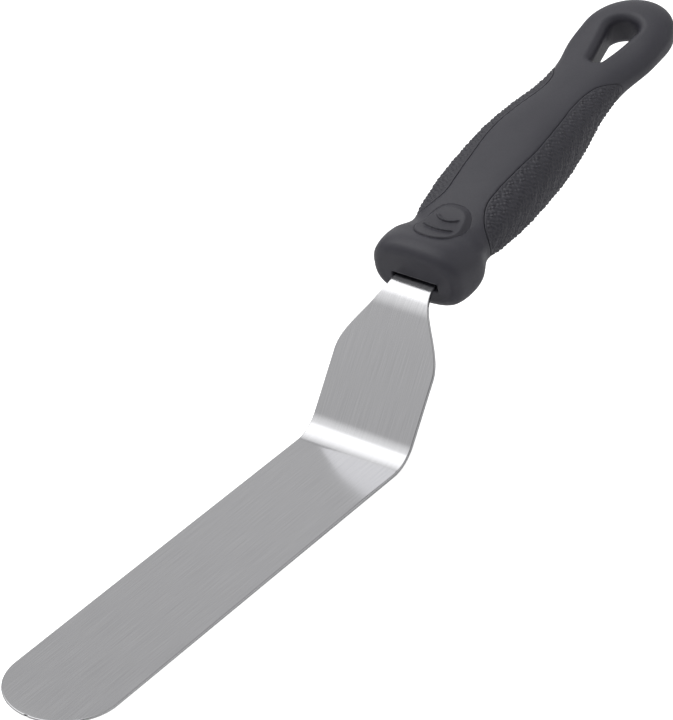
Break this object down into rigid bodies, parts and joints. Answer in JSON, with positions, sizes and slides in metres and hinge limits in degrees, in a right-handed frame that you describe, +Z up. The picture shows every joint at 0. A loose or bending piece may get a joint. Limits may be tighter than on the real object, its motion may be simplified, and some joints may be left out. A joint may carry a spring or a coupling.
{
  "type": "offset spatula",
  "caption": "Cranked palette knife: flat round-tipped steel blade, sloping shank and a moulded hanging handle with textured grips and thumb rests.",
  "frame": {"origin": "middle of the overall box, on the plane of the blade's underside", "axes": "+X along the tool towards the blade's tip, +Z up out of the blade's upper face, and the tool is the same on both sides of the XZ plane"},
  "size_m": [0.3115, 0.0328, 0.0771],
  "materials": {
    "steel": "satin, finely ground along the tool",
    "hard_plastic": "matt moulded",
    "soft_grip": "matt, moulded texture"
  },
  "bodies": {
    "root": {"blade": "steel", "handle_core": "hard_plastic", "grip_panel_right": "soft_grip", "grip_panel_left": "soft_grip", "thumb_rest_front": "soft_grip", "thumb_rest_back": "soft_grip"}
  },
  "joints": []
}
